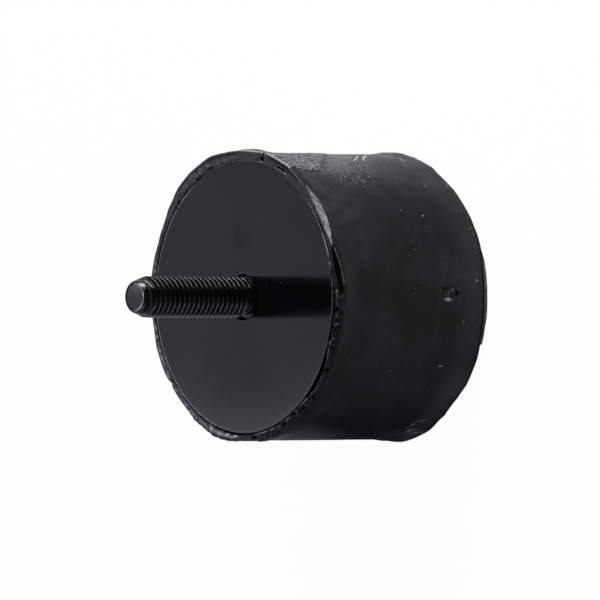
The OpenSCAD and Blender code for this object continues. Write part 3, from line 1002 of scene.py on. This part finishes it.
def stud_material():
    s = Shader("stud_black")
    radius = s.radius()
    colour = s.blend(s.ramp(s.noise(400, 3, 0.6), 0.35, 0.7), grey(0.0020, 0.06), grey(0.0045, 0.06))
    # Pale steel of the end's ring, partly painted highlight, and the painted glint
    bare_and_glint = stud_wear_and_glint(s, radius)
    s.put(s.surface["Base Color"], s.blend(bare_and_glint, colour, grey(0.42)))
    # Painted shade: the reflection dimmed at the root, the point, the bevel's left and along one strip and
    # the grooves
    s.put(s.surface["Specular Tint"], s.blend(stud_painted_shade(s, radius), grey(1.0), grey(0.08)))
    gloss = s.ramp(s.noise(600, 3, 0.6), 0.3, 0.7, 0.09, 0.14)
    s.put(s.surface["Roughness"], s.plus(gloss, s.times(bare_and_glint, 0.25)))
    s.surface["Specular IOR Level"].default_value = 0.6
    s.put(s.surface["Normal"], s.bump(s.noise(1800, 2, 0.5), 0.05, 0.04))
    return s.material


# Room: floor, light and camera
def floor_object():
    """Pale floor, which shows almost white to the camera and keeps a little of the mount's shadow."""
    bm = bmesh.new()
    bmesh.ops.create_grid(bm, x_segments=4, y_segments=4, size=3.0)
    mesh = bpy.data.meshes.new("floor")
    bm.to_mesh(mesh)
    bm.free()
    floor = link_object("floor", mesh)
    material = bpy.data.materials.new("floor")
    material.use_nodes = True
    material.node_tree.nodes.clear()
    n = Nodes(material.node_tree)
    camera_ray = n.add("ShaderNodeLightPath").outputs["Is Camera Ray"]
    paint = n.add("ShaderNodeBsdfDiffuse", Color=(0.80, 0.79, 0.83, 1))
    white = n.add("ShaderNodeEmission", Strength=1.0)
    mix = n.add("ShaderNodeMixShader", Fac=n.times(camera_ray, 0.97))
    n.put(mix.inputs[1], paint.outputs["BSDF"])
    n.put(mix.inputs[2], white.outputs["Emission"])
    n.add("ShaderNodeOutputMaterial", Surface=mix.outputs["Shader"])
    floor.data.materials.append(material)


# Way in which the front plate shows the room to the camera
MIRROR_AXIS = (-0.759, 0.0, 0.651)


def world_light():
    """White to the camera; to reflections a pale cove beyond the mount and a dimmer room in front of it."""
    world = bpy.data.worlds.new("studio")
    bpy.context.scene.world = world
    world.use_nodes = True
    n = Nodes(world.node_tree)
    n.locate("Generated")
    path = n.add("ShaderNodeLightPath").outputs
    mirrored = n.add("ShaderNodeVectorMath")
    mirrored.operation = "DOT_PRODUCT"
    n.put(mirrored.inputs[0], n.place)
    n.put(mirrored.inputs[1], MIRROR_AXIS)
    board = n.times(n.ramp(mirrored.outputs["Value"], 0.80, 0.93, 0.03, 0.66),
                    n.ramp(n.y, -0.02, -0.065, 1.0, 2.7))
    low_side = n.times(n.ramp(n.y, -0.1, -0.7), n.ramp(n.x, -0.2, 0.3, 0.25, 1.0),
                       n.ramp(n.z, 0.05, 0.3, 0.15, 1.0))
    sweep = n.times(n.ramp(n.z, 0.62, 0.08, 0.03, 0.85), n.ramp(n.x, 0.9, 0.2, 0.12, 1.0),
                    n.ramp(low_side, 0.0, 1.0, 1.0, 11.0))
    shiny = n.most(path["Is Glossy Ray"], path["Is Transmission Ray"])
    level = n.blend(shiny, 0.04, n.most(board, sweep), "FLOAT")
    background = n.nodes["Background"].inputs
    n.put(background["Strength"], n.blend(path["Is Camera Ray"], level, 1.0, "FLOAT"))
    n.put(background["Color"], n.blend(path["Is Camera Ray"], (0.90, 0.96, 1.10, 1), (1, 1, 1, 1)))


def area_light(name, place, target, size, power):
    """Rectangular lamp at a place, turned to a target."""
    light = bpy.data.lights.new(name, "AREA")
    light.color = (0.97, 0.98, 1.0)
    light.shape = "RECTANGLE"
    light.size, light.size_y = size
    light.energy = power
    obj = link_object(name, light)
    obj.location = place
    obj.rotation_euler = (Vector(target) - Vector(place)).to_track_quat("-Z", "Y").to_euler()


def camera():
    """Looks down on the mount with the stud pointing left in the picture, as in the photograph."""
    tilt, distance = math.radians(49.4), 3.5
    view_width, sensor = 0.1451, 36
    away = Vector((math.sin(tilt), 0, math.cos(tilt)))
    up = Vector((0, 1, 0))
    right = up.cross(away)
    target = Vector((0, -0.73 * MM, 29.85 * MM))
    data = bpy.data.cameras.new("camera")
    data.sensor_width = sensor
    data.lens = sensor * distance / view_width
    obj = link_object("camera", data)
    turn = Matrix((right, up, away)).transposed()
    obj.matrix_world = Matrix.Translation(target + away * distance) @ turn.to_4x4()
    bpy.context.scene.camera = obj


dress(rubber_object(), rubber_material(), "rubber_body")
coat = plate_material()
front_disc = turned_loop("front_disc", plate_section(NECK_R, MOUNT_H, MOUNT_H - PLATE_T, 1))
dress(front_disc, coat, "front_plate")
dress(turned_loop("coat_edge", coat_section()), coat)
rear_disc = turned_loop("rear_disc", plate_section(BUSH_R, 0.0, PLATE_T, -1))
dress(rear_disc, coat, "rear_plate")
black = stud_material()
dress(stud_object(), black, "front_stud")
dress(bush_object(), black, "rear_bush")

floor_object()
world_light()
area_light("key", (0.05, 0.65, 0.50), (0, 0, 0.03), (0.9, 0.18), 9.6)
camera()
bpy.context.scene.view_settings.view_transform = "Standard"
